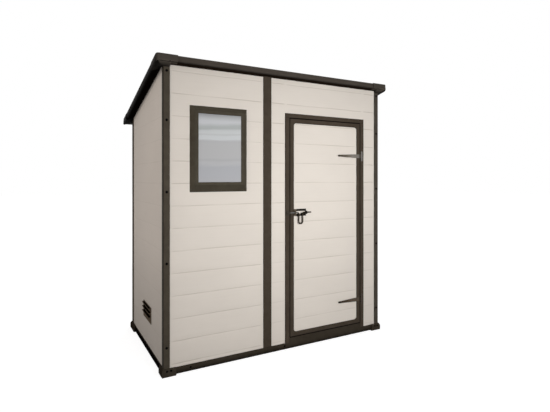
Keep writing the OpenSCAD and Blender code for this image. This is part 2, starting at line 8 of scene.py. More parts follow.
import json
import math

import bmesh
import bpy
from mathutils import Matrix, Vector, noise

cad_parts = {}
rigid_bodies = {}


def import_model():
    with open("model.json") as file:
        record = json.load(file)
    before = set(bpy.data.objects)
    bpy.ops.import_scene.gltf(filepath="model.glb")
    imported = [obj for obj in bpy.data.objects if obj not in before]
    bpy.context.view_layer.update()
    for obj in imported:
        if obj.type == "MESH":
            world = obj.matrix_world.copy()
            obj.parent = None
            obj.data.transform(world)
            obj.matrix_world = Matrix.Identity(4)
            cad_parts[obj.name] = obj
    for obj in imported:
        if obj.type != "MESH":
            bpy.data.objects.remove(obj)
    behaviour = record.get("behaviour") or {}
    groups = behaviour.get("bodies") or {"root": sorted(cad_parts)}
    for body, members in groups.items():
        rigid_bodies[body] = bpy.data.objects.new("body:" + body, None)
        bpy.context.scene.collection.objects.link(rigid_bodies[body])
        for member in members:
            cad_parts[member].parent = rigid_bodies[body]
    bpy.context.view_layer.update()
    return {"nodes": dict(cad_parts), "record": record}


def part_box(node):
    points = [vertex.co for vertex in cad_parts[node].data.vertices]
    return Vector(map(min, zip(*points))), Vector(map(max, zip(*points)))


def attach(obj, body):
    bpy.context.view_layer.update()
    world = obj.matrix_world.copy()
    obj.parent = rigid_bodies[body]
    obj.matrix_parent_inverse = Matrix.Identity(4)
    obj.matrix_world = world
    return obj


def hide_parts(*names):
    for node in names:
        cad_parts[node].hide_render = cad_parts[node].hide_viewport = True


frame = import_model()
NODES = frame["nodes"]
BODY_OF = {n: b for b, members in frame["record"]["behaviour"]["bodies"].items() for n in members}
SLOT_OF = {p["node"]: p["material_slot"] for p in frame["record"]["subparts"]}

MM = 0.001
# Points this close are one, and how close merged ones are, in metres
SAME, MERGE = 1e-5, 1e-6
WHITE = (1, 1, 1)

# Board lines: they run at the same heights on every wall and on the door
BOARD_PITCH = 140.6 * MM
BOARD_LINE_Z = 206.5 * MM
LINE_DEPTH = 1.5 * MM
LINE_HALF = 4.5 * MM
LINE_WAVE = 2.2 * MM
LINE_MARGIN, LINE_MARGIN_NARROW = 8 * MM, 3 * MM
LINE_FADE = 12 * MM
NARROW = 250 * MM
COLUMN_STEP = 12 * MM
# What is left of the colour in the board lines: painted shade in their grooves
LINE_SHADE_COLOUR = (0.74, 0.72, 0.7)
# A line's section, as (place across it, depth), from -1 to 1 and from 0 to 1
LINE_SECTION = [(-1, 0), (-0.5, 0.3), (-0.17, 1), (0.17, 1), (0.5, 0.3), (1, 0)]
# How strong the lines are on the side walls and on narrow panels, against those of the front
SIDE_LINES = 0.3
NARROW_LINES = 1.5
# Heights between which the lines of a narrow panel fade in, and what is left of them below
NARROW_FADE_Z = (450 * MM, 950 * MM)
NARROW_LOW = 0.3

# Edge rounding of the moulded pieces and of the steel, the angle in degrees from which an edge is
# rounded, and the one from which it stays sharp in the shading
BEVEL_ANGLE, SHARP_ANGLE = 25, 35
POST_EDGE = 2.0 * MM
FOOT_EDGE = 3.0 * MM
STEEL_EDGE = 0.8 * MM
VENT_EDGE = 0.5 * MM

# Fascia boards: their top edge, and the lower edge that rolls in under the roof
FASCIA_TOP_EDGE = 2 * MM
FASCIA_ROLL = 13 * MM
FASCIA_ROLL_IN = 7.5 * MM
FASCIA_STEPS = 6
# How far the side boards' faces stand out from the roof's sides
FASCIA_OUT_SIDE = 3.5 * MM
# The soffit behind them, and how far it rises to the front and back walls, and to the side walls
SOFFIT_T = 2 * MM
SOFFIT_GAP = 0.5 * MM
SOFFIT_RISE, SOFFIT_RISE_SIDE = -2.8 * MM, 12 * MM

# Corner caps: the lip over the roof's edge, how far they stand out at their top and lower edges,
# how far they drop at the posts and at their sides, and how round they are
CAP_SKIN, CAP_FLARE = 5 * MM, 2.6 * MM
CAP_LIP = 2 * MM
CAP_DROP = 20 * MM
CAP_SIDE_DROP = 9 * MM
CAP_LENGTH = 130 * MM
CAP_PLAN_R = 12 * MM
CAP_TOP_R = 2.5 * MM
CAP_LOW_R = 10 * MM
CAP_GAP = 0.3 * MM
CAP_STEPS, CAP_TOP_STEPS = 8, 4
# How far, in degrees, a cap's face turns under at its lower edge, and where it slopes down to a post
CAP_TURN, CAP_TURN_TO_POST = 80, 58
# Painted shade: shares of a cap's colour that are left on its underside, low and high on its side, and on the
# back caps
CAP_SHADE, CAP_SIDE_SHADE, CAP_SIDE_TOP_SHADE, CAP_BACK_SHADE = 0.22, 0.2, 0.7, 0.4
# Painted light: an extra share at the turn of a front cap's lower edge, standing for light from the ground
CAP_TURN_LIGHT = 0.5

# The leaf's rim: how round it is outside and inside
RIM_R, RIM_INNER_R = 3 * MM, 20 * MM
# The gap around the leaf, and the black strips of painted shade in it: their space to the leaf, their
# set-back and roundness
DOOR_GAP = 6 * MM
GAP_SHADE_CLEAR, GAP_SHADE_BACK, GAP_SHADE_R = 1.5 * MM, 1.5 * MM, 1 * MM

# The bolt's bars, how much thicker they look than in the CAD, and the plate behind the rod
BOLT_BAR = 11 * MM
BOLT_BAR_EXTRA = 4.5 * MM
BOLT_PLATE_LAP, BOLT_PLATE_T, BOLT_PLATE_R = 20 * MM, 3 * MM, 3 * MM

# How far the floor's lower edge reaches down, the centre post to the right, and the back feet forward
FLOOR_LOWER = 4 * MM
CENTRE_POST_EXTRA = 2.5 * MM
BACK_FOOT_EXTRA = 55 * MM

# Window frame: its members, and the moulding from its outer edge to its face
WINDOW_MEMBER = 51 * MM
WINDOW_BOTTOM = 64 * MM
WINDOW_EDGE = 2 * MM
WINDOW_BEVEL = 26 * MM
WINDOW_LIP = 22 * MM
WINDOW_GROOVE = 1.6 * MM
WINDOW_COVER = 15 * MM

# Vents: margins of the hole behind them, thickness, and the border around their louvres
VENT_COVER_Y, VENT_COVER_Z = 40 * MM, 9 * MM
VENT_T = 4 * MM
VENT_BORDER, VENT_FOOT, VENT_HEAD = 8 * MM, 18 * MM, 4 * MM
# The black sheet of painted shade behind the louvres: its space to the vent, and its thickness
SHADE_SHEET_GAP, SHADE_SHEET_T = 0.4 * MM, 0.8 * MM

# Screws: heads, and their places on the posts, the feet and the floor's edge
SCREW_R, SCREW_SIDES = 8 * MM, 20
SCREW_PROUD = 1.2 * MM
SMALL_SCREW_R = 6.4 * MM
CAP_SCREW_R = 3.6 * MM
CAP_SCREW_PROUD = 0.8 * MM
CAP_SCREW_FROM_END = 88.3 * MM
CAP_SCREW_TURN = 60
POST_SCREW_Z = [z * MM for z in (1889, 1584, 1139, 696, 176)]
FOOT_SCREW_FROM_END = [31 * MM, 57 * MM]
FOOT_SCREW_Z = 36 * MM
FLOOR_SCREW_Z = 28 * MM
FLOOR_SCREW_FROM_POST = 172 * MM

# Bands of painted reflection on the pane, as (place from its foot to its head, colour), and the share of the
# colours to use
PANE_TONE = 0.955
PANE_REFLECTION_BANDS = [
    (0, (0.405, 0.41, 0.43)), (0.24, (0.39, 0.395, 0.42)), (0.28, (0.44, 0.445, 0.455)),
    (0.31, (0.43, 0.43, 0.44)), (0.33, (0.4, 0.4, 0.41)), (0.37, (0.435, 0.435, 0.44)),
    (0.57, (0.44, 0.44, 0.445)), (0.6, (0.43, 0.43, 0.44)), (0.63, (0.565, 0.585, 0.595)),
    (0.68, (0.56, 0.58, 0.59)), (0.7, (0.49, 0.505, 0.51)), (0.72, (0.555, 0.575, 0.58)),
    (0.755, (0.53, 0.55, 0.555)), (0.785, (0.4, 0.42, 0.42)), (0.82, (0.41, 0.43, 0.43)),
    (0.86, (0.55, 0.56, 0.58)), (0.94, (0.545, 0.56, 0.575)), (1, (0.467, 0.467, 0.487)),
]
# How much they waver, how fast they spread apart across the pane, and the height from which they spread
PANE_RIPPLE = 8 * MM
PANE_FAN = 0.175
PANE_FAN_Z = 1225 * MM
# Heights over which the pane darkens under its frame's top in a painted shadow, and the shares of its colour
# there
PANE_SHADOW_Z = (1595 * MM, 1631 * MM)
PANE_SHADOW_SHARES = (1.0, 0.66)

# How much of a dark resin's colour is left where it faces straight down, and to the left or right: painted
# shade
UNDERSIDE_SHADE = 0.15
SIDEWAYS_SHADE = 0.65
# Heights over which the painted shade on the base pieces by the ground fades out, and their shares of colour
# there
GROUND_SHADE_Z = (6 * MM, 34 * MM)
GROUND_SHADE_SHARES = (0.35, 1.12)
# Heights over which the painted shade low on the side walls fades out, and the shares of their colour there
SIDE_SHADE_Z = (100 * MM, 800 * MM)
SIDE_SHADE_SHARES = (0.73, 1.0)
# Heights over which the hinges' steel goes from painted shade low down to its full colour
STEEL_SHADE_Z = (500 * MM, 1000 * MM)

# Studio: the strength of the world's fill light and of the white background, and of the floor's lift
WORLD_FILL = 0.2
WORLD_WHITE = 1.0
FLOOR_TONE = 0.4
FLOOR_LIFT, FLOOR_LIFT_FAR = 0.86, 1.05
# Where that lift starts to change and where it has changed, and half the floor's width
FLOOR_NEAR, FLOOR_FAR, FLOOR_HALF = 2.5, 5.0, 30
# Lamps: name, place, aim, size, power, spread in degrees, colour
WARM = (1, 0.93, 0.89)
LAMPS = [
    ("key", (0.5, -4.5, 0.9), (0.3, -0.5, 1.5), (1.6, 1.2), 5.1, 110, WHITE),
    ("door", (0.5, -3.6, 1.45), (0.3, -0.5, 1.2), (1.4, 1.0), 16, 90, WHITE),
    ("bay", (-0.7, -3.4, 1.0), (-0.5, -0.5, 0.95), (1.0, 0.8), 2.1, 70, WHITE),
    ("side", (-3.6, -1.6, 2.6), (-0.9, 0, 1.3), (2.0, 2.0), 13.4, 110, WARM),
    ("low_side", (-3.5, 0.4, 1.2), (-0.9, 0, 1.2), (1.6, 1.6), 4.5, 120, WARM),
    ("back", (2.5, 4.5, 2.6), (0.2, 0, 1.0), (2.4, 2.4), 30, 120, WHITE),
    ("right", (3.8, 0.8, 2.0), (0.9, 0.1, 1.1), (2.0, 2.0), 9, 110, WHITE),
]
# Camera: it looks level, turned to the right by an angle in degrees
CAMERA_PLACE = (-1.5317, -3.1484, 1.2248)
CAMERA_TURN = -28.99
CAMERA_SENSOR, CAMERA_LENS = 36, 27.762
CAMERA_SHIFT = (-0.0005, -0.0507)


# ---------------- materials

class Graph:
    """Builds the nodes of a material or of the world."""

    def __init__(self, tree):
        self.tree = tree

    def feed(self, socket, value):
        """Links an input to another node's output, or sets it to a plain value."""
        if isinstance(value, bpy.types.NodeSocket):
            self.tree.links.new(value, socket)
        else:
            socket.default_value = value

    def node(self, kind, inputs, **settings):
        """Adds a node; inputs are outputs or plain values, by the input's name or place."""
        node = self.tree.nodes.new("ShaderNode" + kind)
        for key, value in settings.items():
            setattr(node, key, value)
        for key, value in inputs.items():
            self.feed(node.inputs[key], value)
        return node

    def coords(self, kind="Object"):
        """The place on the piece, in its own coordinates, or with "Normal" the way it faces there."""
        return self.node("TexCoord", {}).outputs[kind]

    def axis(self, name, kind="Object"):
        return self.node("SeparateXYZ", {"Vector": self.coords(kind)}).outputs[name]

    def attribute(self, name):
        return self.node("Attribute", {}, attribute_name=name).outputs["Fac"]

    def noise(self, scale, detail, roughness=0.55):
        """Noise over the piece's own coordinates, stretched along each axis."""
        mapping = self.node("Mapping", {"Vector": self.coords(), "Scale": scale})
        inputs = {"Vector": mapping.outputs["Vector"], "Scale": 1.0, "Detail": detail, "Roughness": roughness}
        return self.node("TexNoise", inputs).outputs["Fac"]

    def ramp(self, value, stops):
        """A colour ramp; stops are (place, colour)."""
        node = self.node("ValToRGB", {"Fac": value})
        elements = node.color_ramp.elements
        while len(elements) < len(stops):
            elements.new(0.5)
        for element, (place, colour) in zip(elements, stops):
            element.position = place
            element.color = (*colour, 1)
        return node.outputs["Color"]

    def remap(self, value, low, high, to_low, to_high):
        """Takes a value from low...high to to_low...to_high, and holds it there."""
        inputs = {"Value": value, "From Min": low, "From Max": high, "To Min": to_low, "To Max": to_high}
        return self.node("MapRange", inputs).outputs["Result"]

    def by_height(self, heights, shares):
        """A share that goes from the first to the second of shares between two heights."""
        return self.remap(self.axis("Z"), *heights, *shares)

    def times(self, colour, share):
        """A colour times a share of it, which is a value or another colour."""
        inputs = {"Factor": 1.0, "A": colour, "B": share}
        return self.node("Mix", inputs, data_type="RGBA", blend_type="MULTIPLY").outputs["Result"]

    def maths(self, operation, a, b=0.0):
        return self.node("Math", {0: a, 1: b}, operation=operation).outputs["Value"]

    def dress(self, shader, colour, roughness, bumps):
        """Feeds a Principled shader; bumps are chained, each a (height, strength, distance)."""
        self.feed(shader.inputs["Base Color"], colour)
        self.feed(shader.inputs["Roughness"], roughness)
        before = {}
        for height, strength, distance in bumps:
            inputs = {"Height": height, "Strength": strength, "Distance": distance, **before}
            before = {"Normal": self.node("Bump", inputs).outputs["Normal"]}
        self.feed(shader.inputs["Normal"], before["Normal"])


MATERIALS = {}


def new_material(name, colour, roughness, specular):
    """Adds a Principled material to MATERIALS; returns its (graph, shader)."""
    mat = bpy.data.materials.new(name)
    MATERIALS[name] = mat
    mat.use_nodes = True
    shader = mat.node_tree.nodes["Principled BSDF"]
    shader.inputs["Base Color"].default_value = (*colour, 1)
    shader.inputs["Roughness"].default_value = roughness
    shader.inputs["Specular IOR Level"].default_value = specular
    return Graph(mat.node_tree), shader


def tone(colour, k):
    return tuple(c * k for c in colour)


def cream_material(name, shaded_low=False):
    """Cream resin: a faint horizontal wood grain, with painted shade where the board lines run."""
    base = (0.76, 0.7, 0.632)
    graph, shader = new_material(name, base, 0.75, 0.1)
    cloud = graph.noise((2.2, 2.2, 3.5), 3)
    grain = graph.noise((5, 5, 210), 5, 0.6)
    fine = graph.noise((60, 60, 900), 3)
    tint = graph.ramp(cloud, [(0.3, tone(base, 0.975)), (0.7, tone(base, 1.02))])
    streak = graph.ramp(grain, [(0.32, (0.985, 0.982, 0.978)), (0.5, WHITE)])
    line = graph.ramp(graph.attribute("line"), [(0, WHITE), (1, LINE_SHADE_COLOUR)])
    colour = graph.times(graph.times(tint, streak), line)
    # Painted shade: the side walls go darker towards the ground
    if shaded_low:
        colour = graph.times(colour, graph.by_height(SIDE_SHADE_Z, SIDE_SHADE_SHARES))
    rough = graph.remap(grain, 0.3, 0.7, 0.66, 0.8)
    graph.dress(shader, colour, rough, [(grain, 0.2, 0.0008), (fine, 0.15, 0.0003)])


def facing_shade(graph, underside, sideways):
    """1 where the surface faces front, back or up, and less where it faces down or sideways: painted shade.
    """
    down = graph.remap(graph.axis("Z", "Normal"), -0.85, -0.1, underside, 1.0)
    aside = graph.remap(graph.maths("ABSOLUTE", graph.axis("X", "Normal")), 0.5, 0.95, 1.0, sideways)
    return graph.maths("MULTIPLY", down, aside)


def resin_material(name, base, roughness, grain_scale=(40, 40, 40), bump_depth=0.0004, specular=0.0,
                   underside=UNDERSIDE_SHADE, sideways=1.0, shaded=False, grounded=False):
    """Dark moulded resin: mottled in colour and gloss, with painted shade where it faces down or sideways,
    with a fine leathery surface.

    shaded multiplies the colour by the mesh's own "shade" attribute of painted shade and light; grounded
    paints shade near the ground.
    """
    graph, shader = new_material(name, base, roughness, specular)
    cloud = graph.noise((3, 3, 3), 3)
    grain = graph.noise(grain_scale, 4, 0.6)
    pores = graph.noise((700, 700, 700), 2)
    tint = graph.ramp(cloud, [(0.3, tone(base, 0.9)), (0.7, tone(base, 1.1))])
    streak = graph.ramp(grain, [(0.35, (0.9, 0.89, 0.88)), (0.6, (1.04, 1.04, 1.04))])
    colour = graph.times(graph.times(tint, streak), facing_shade(graph, underside, sideways))
    if shaded:
        colour = graph.times(colour, graph.attribute("shade"))
    if grounded:
        colour = graph.times(colour, graph.by_height(GROUND_SHADE_Z, GROUND_SHADE_SHARES))
    rough = graph.remap(grain, 0.3, 0.7, roughness - 0.07, roughness + 0.07)
    graph.dress(shader, colour, rough, [(grain, 0.3, bump_depth), (pores, 0.25, 0.0002)])


def dark_resin(name, base, roughness=0.58, specular=0.02, underside=UNDERSIDE_SHADE, scale=(25, 25, 25),
               sideways=SIDEWAYS_SHADE, **more):
    """The resin of posts, frames and roof."""
    resin_material(name, base, roughness, scale, 0.0006, specular, underside, sideways, **more)


def pane_material():
    """Frosted twin-wall sheet: soft pale and grey bands of painted reflection, which spread apart from right
    to left.
    """
    low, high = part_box("window_pane")
    graph, shader = new_material("frosted_pane", (0.42, 0.425, 0.44), 0.5, 0.25)
    ripple = graph.noise((3.5, 3.5, 22), 3, 0.5)
    offset = graph.remap(ripple, 0.3, 0.7, -PANE_RIPPLE, PANE_RIPPLE)
    height = graph.maths("ADD", graph.axis("Z"), offset)
    across = graph.maths("SUBTRACT", graph.axis("X"), (low.x + high.x) / 2)
    spread = graph.maths("ADD", graph.maths("MULTIPLY", across, -PANE_FAN), 1.0)
    above = graph.maths("MULTIPLY", graph.maths("SUBTRACT", height, PANE_FAN_Z), spread)
    place = graph.remap(graph.maths("ADD", above, PANE_FAN_Z), low.z, high.z, 0.0, 1.0)
    bands = graph.ramp(place, [(at, tone(colour, PANE_TONE)) for at, colour in PANE_REFLECTION_BANDS])
    # Painted shadow of the frame's top on the pane
    colour = graph.times(bands, graph.by_height(PANE_SHADOW_Z, PANE_SHADOW_SHARES))
    graph.dress(shader, colour, 0.5, [(ripple, 0.3, 0.001)])


def steel_material(name, base, roughness, metallic, specular, along=None, near_ground=None):
    """Plated steel with brushing and small blotches.

    along is (node, stops): shares of the colour from the node's left end to its right;
    near_ground is the share of it that is left on hardware near the ground, as a colour: painted shade.
    """
    graph, shader = new_material(name, base, roughness, specular)
    shader.inputs["Metallic"].default_value = metallic
    brush = graph.noise((40, 40, 1500), 4)
    blotch = graph.noise((60, 60, 60), 4)
    colour = graph.ramp(blotch, [(0.3, tone(base, 0.85)), (0.7, tone(base, 1.12))])
    if along:
        node, stops = along
        low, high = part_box(node)
        place = graph.remap(graph.axis("X"), low.x, high.x, 0.0, 1.0)
        colour = graph.times(colour, graph.ramp(place, stops))
    if near_ground:
        height = graph.by_height(STEEL_SHADE_Z, (0.0, 1.0))
        colour = graph.times(colour, graph.ramp(height, [(0, near_ground), (1, WHITE)]))
    rough = graph.remap(brush, 0.3, 0.7, roughness - 0.1, roughness + 0.1)
    graph.dress(shader, colour, rough, [(brush, 0.2, 0.0003)])


def seen_rays(graph):
    """1 for camera, glossy and transmission rays, 0 for the rays that carry light."""
    path = graph.node("LightPath", {})
    mirrored = graph.maths("MAXIMUM", path.outputs["Is Glossy Ray"], path.outputs["Is Transmission Ray"])
    return graph.maths("MAXIMUM", path.outputs["Is Camera Ray"], mirrored)


def floor_material():
    """Pale studio floor that goes to white where no shadow falls, and all white far away."""
    grey = (FLOOR_TONE,) * 3
    graph, shader = new_material("studio_floor", grey, 0.9, 0.0)
    grain = graph.noise((0.6, 0.6, 0.6), 2)
    pale = graph.ramp(grain, [(0.3, tone(grey, 0.98)), (0.7, tone(grey, 1.02))])
    graph.feed(shader.inputs["Base Color"], pale)
    reach = graph.node("VectorMath", {0: graph.coords()}, operation="LENGTH")
    lift = graph.remap(reach.outputs["Value"], FLOOR_NEAR, FLOOR_FAR, FLOOR_LIFT, FLOOR_LIFT_FAR)
    glow = graph.node("Emission", {"Strength": graph.maths("MULTIPLY", lift, seen_rays(graph))})
    both = graph.node("AddShader", {0: shader.outputs["BSDF"], 1: glow.outputs["Emission"]})
    graph.feed(graph.tree.nodes["Material Output"].inputs["Surface"], both.outputs["Shader"])


# Shares of the colour of steel pieces from their left ends to their right. The straps are dark at their left
# ends and darker again at their right ends; the plates are darker on their left part
STRAP_SHARES = [(0, (0.16, 0.13, 0.1)), (0.1, (0.35, 0.31, 0.26)), (0.45, (0.8, 0.76, 0.7)),
              (0.62, WHITE), (0.9, (0.95, 0.95, 0.95)), (0.95, (0.45, 0.42, 0.4))]
PLATE_SHARES = [(0, (0.25, 0.22, 0.2)), (0.42, (0.3, 0.27, 0.25)), (0.5, WHITE)]
# The rod's left part keeps a painted highlight; its right part is dark brown
ROD_HIGHLIGHT = [(0, WHITE), (0.38, (0.8, 0.8, 0.8)), (0.5, (0.16, 0.14, 0.12)),
            (0.7, (0.08, 0.06, 0.04)), (1.0, (0.1, 0.06, 0.04))]
# The bolt body's left end carries a painted highlight
BOLT_HIGHLIGHT = [(0, (8.0, 7.6, 7.0)), (0.16, (7.0, 6.6, 6.0)), (0.24, WHITE)]


def make_materials():
    cream_material("cream_resin")
    cream_material("side_cream_resin_shaded", shaded_low=True)
    dark_resin("brown_resin", (0.063, 0.049, 0.0365))
    dark_resin("post_resin", (0.077, 0.064, 0.048), sideways=0.35)
    dark_resin("olive_resin", (0.069, 0.059, 0.048))
    # Floor edges, sill and feet: darker copies of the brown resin, painted shade low by the ground
    dark_resin("base_resin", (0.043, 0.035, 0.026), 0.6, 0.0, sideways=0.1, grounded=True)
    # Near-black for the strips of painted shade in the door's gaps
    resin_material("gap_shade_black", (0.006, 0.004, 0.003), 0.8, (60, 60, 60), 0.0002)
    dark_resin("foot_resin", (0.05, 0.041, 0.031), 0.6, 0.0)
    dark_resin("window_resin", (0.0715, 0.062, 0.045), underside=0.75, sideways=1.0)
    dark_resin("roof_resin", (0.07, 0.058, 0.048), 0.62, 0.03, 0.2, (8, 60, 60))
    # The side fascias: a darker copy of the roof resin, painted shade
    dark_resin("side_roof_resin_shaded", (0.022, 0.019, 0.016), 0.62, 0.01, 0.1, (60, 8, 60))
    dark_resin("cap_resin", (0.076, 0.065, 0.054), 0.62, 0.02, 1.0, shaded=True)
    # Soffits: near-black resin as painted shade under the overhang, darker still at the sides
    resin_material("soffit_resin", (0.03, 0.02, 0.013), 0.8, underside=0.5)
    resin_material("side_soffit_resin_shaded", (0.012, 0.008, 0.006), 0.8, underside=0.5)
    resin_material("vent_resin", (0.14, 0.113, 0.084), 0.7, underside=0.6)
    # Near-black for the sheet of painted shade behind the vents' louvres
    resin_material("vent_shade_black", (0.003, 0.002, 0.001), 0.8, bump_depth=0.0002, underside=0.6)
    pane_material()
    steel_material("strap_steel", (0.18, 0.164, 0.143), 0.5, 0.3, 0.1, ("hinge_straps", STRAP_SHARES),
                   (0.47, 0.39, 0.32))
    steel_material("plate_steel", (0.175, 0.16, 0.15), 0.5, 0.3, 0.1, ("hinge_plates", PLATE_SHARES),
                   (0.42, 0.36, 0.31))
    steel_material("rod_steel", (0.17, 0.164, 0.157), 0.6, 0.0, 0.02, ("bolt_rod", ROD_HIGHLIGHT))
    steel_material("keeper_steel", (0.055, 0.046, 0.037), 0.6, 0.0, 0.03)
    steel_material("dark_steel", (0.03, 0.023, 0.015), 0.5, 0.1, 0.03)
    steel_material("bolt_body_steel", (0.012, 0.01, 0.008), 0.5, 0.2, 0.03, ("bolt_body", BOLT_HIGHLIGHT))
    resin_material("screw_black", (0.002, 0.002, 0.002), 0.7, (90, 90, 90), 0.0003)


# ---------------- mesh helpers

def smooth(mesh):
    """Smooth shading with sharp edges above SHARP_ANGLE."""
    for polygon in mesh.polygons:
        polygon.use_smooth = True
    mesh.set_sharp_from_angle(angle=math.radians(SHARP_ANGLE))


def add_object(name, data):
    """A new object in the scene."""
    obj = bpy.data.objects.new(name, data)
    bpy.context.scene.collection.objects.link(obj)
    return obj


def mesh_of(name, bm):
    """A mesh from a bmesh, which is freed."""
    mesh = bpy.data.meshes.new(name)
    bm.to_mesh(mesh)
    bm.free()
    return mesh


def piece(name, bm, body, slot, material=None, stands_for=()):
    """Makes a piece from a bmesh: its material, the body it rides on and the nodes it stands for."""
    bmesh.ops.recalc_face_normals(bm, faces=bm.faces)
    mesh = mesh_of(name, bm)
    smooth(mesh)
    mesh.materials.append(MATERIALS[material or slot])
    obj = add_object(name, mesh)
    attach(obj, body)
    if stands_for:
        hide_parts(*stands_for)
    return obj


def rounded_copy(node, edge, segments=3, material=None):
    """A CAD node's mesh with rounded edges, in place of the node."""
    bm = bmesh.new()
    bm.from_mesh(NODES[node].data)
    bmesh.ops.remove_doubles(bm, verts=bm.verts, dist=MERGE)
    bmesh.ops.dissolve_limit(bm, angle_limit=math.radians(1), verts=bm.verts, edges=bm.edges)
    obj = piece(node + "_look", bm, BODY_OF[node], SLOT_OF[node], material, [node])
    bevel = obj.modifiers.new("edges", "BEVEL")
    bevel.width = edge
    bevel.segments = segments
    bevel.limit_method = "ANGLE"
    bevel.angle_limit = math.radians(BEVEL_ANGLE)
    bevel.harden_normals = True


def move_look(node, axis, by, where):
    """Moves the vertices of a rounded copy along an axis, where a test of their place holds."""
    for vert in bpy.data.objects[node + "_look"].data.vertices:
        if where(vert.co):
            vert.co[axis] += by


def bridge(bm, a, b):
    """Faces between two rings of vertices."""
    for k in range(len(a)):
        n = (k + 1) % len(a)
        bm.faces.new((a[k], a[n], b[n], b[k]))


def add_sweep(bm, loops, shades=None):
    """Adds a closed solid through loops of points; shades are the "shade" values of each loop's points."""
    rings = [[bm.verts.new(p) for p in loop] for loop in loops]
    if shades:
        layer = bm.verts.layers.float["shade"]
        for ring, values in zip(rings, shades):
            for vert, shade in zip(ring, values):
                vert[layer] = shade
    for a, b in zip(rings, rings[1:]):
        bridge(bm, a, b)
    bm.faces.new(list(reversed(rings[0])))
    bm.faces.new(rings[-1])


def ring_solid(loops):
    """A closed ring from loops of points, each bridged to the next and the last to the first."""
    bm = bmesh.new()
    rings = [[bm.verts.new(p) for p in loop] for loop in loops]
    for a, b in zip(rings, rings[1:] + rings[:1]):
        bridge(bm, a, b)
    return bm


def screw_head(bm, centre, direction, radius=SCREW_R, proud=SCREW_PROUD):
    """Adds a turned, domed head with a round recess in it."""
    outline = [(radius, -proud), (radius, proud * 0.2), (radius * 0.93, proud * 0.6),
               (radius * 0.72, proud * 0.95), (radius * 0.48, proud), (radius * 0.4, proud * 0.9),
               (radius * 0.34, proud * 0.1)]
    turn = Vector((0, 0, 1)).rotation_difference(Vector(direction)).to_matrix()
    angles = [2 * math.pi * k / SCREW_SIDES for k in range(SCREW_SIDES)]
    add_sweep(bm, [[Vector(centre) + turn @ Vector((r * math.cos(a), r * math.sin(a), height))
                    for a in angles] for r, height in outline])


def corners(x0, x1, y0, y1):
    """The corners of a flat rectangle, in order around it."""
    return [(x0, y0), (x1, y0), (x1, y1), (x0, y1)]


def rounded_loop(x0, x1, z0, z1, y, radius, steps=6):
    """An upright rectangle with round corners, anticlockwise from its lower right corner."""
    r = max(radius, SAME)
    centres = [(x1 - r, z0 + r, -90), (x1 - r, z1 - r, 0), (x0 + r, z1 - r, 90), (x0 + r, z0 + r, 180)]
    points = []
    for x, z, start in centres:
        for k in range(steps + 1):
            a = math.radians(start + 90 * k / steps)
            points.append(Vector((x + r * math.cos(a), y, z + r * math.sin(a))))
    return points


# ---------------- walls

def top_plane(node):
    """(point, upward normal) of a node's sloping top, from its highest and lowest top corners."""
    low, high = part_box(node)
    verts = [v.co for v in NODES[node].data.vertices]
    front_z = max(v.z for v in verts if v.y < low.y + SAME)
    back_z = max(v.z for v in verts if v.y > high.y - SAME)
    along = Vector((0, high.y - low.y, back_z - front_z)).normalized()
    return Vector((0, low.y, front_z)), Vector((0, -along.z, along.y))


def top_height(node):
    """A function that gives the height of a node's sloping top from front to back."""
    point, normal = top_plane(node)
    return lambda y: point.z - normal.y / normal.z * (y - point.y)


def line_heights(z0, z1):
    """Heights of the board lines between two heights."""
    first = math.ceil((z0 - BOARD_LINE_Z) / BOARD_PITCH)
    last = math.floor((z1 - BOARD_LINE_Z) / BOARD_PITCH)
    return [BOARD_LINE_Z + k * BOARD_PITCH for k in range(first, last + 1)]


def line_wave(u, z, seed):
    """How far a board line strays up or down at a place along it."""
    slow = noise.noise(Vector((u * 3.1, z * 7.3, seed)))
    fast = noise.noise(Vector((u * 14.0, z * 5.1, seed + 20)))
    return LINE_WAVE * (1.1 * slow + 0.5 * fast)


def line_strength(u, z, u0, u1, seed):
    """0 to 1: how deep a board line is at a place; it fades out by the panel's ends and here and there."""
    margin = LINE_MARGIN_NARROW if u1 - u0 < NARROW else LINE_MARGIN
    end = min(u - u0, u1 - u) - margin
    fade = min(max(end / LINE_FADE, 0.0), 1.0)
    patch = 0.72 + 0.75 * noise.noise(Vector((u * 5.0, z * 3.7, seed + 40)))
    if u1 - u0 < NARROW:
        up = (z - NARROW_FADE_Z[0]) / (NARROW_FADE_Z[1] - NARROW_FADE_Z[0])
        fade *= NARROW_LOW + (1.0 - NARROW_LOW) * min(max(up, 0.0), 1.0)
    return fade * min(max(patch, 0.25), 1.0)


def grid_values(low, high, step, wanted):
    """Values from low to high about step apart, which include the wanted ones."""
    marks = sorted({low, high, *[w for w in wanted if low < w < high]})
    values = [marks[0]]
    for a, b in zip(marks, marks[1:]):
        count = max(1, round((b - a) / step))
        values += [a + (b - a) * k / count for k in range(1, count + 1)]
    return values


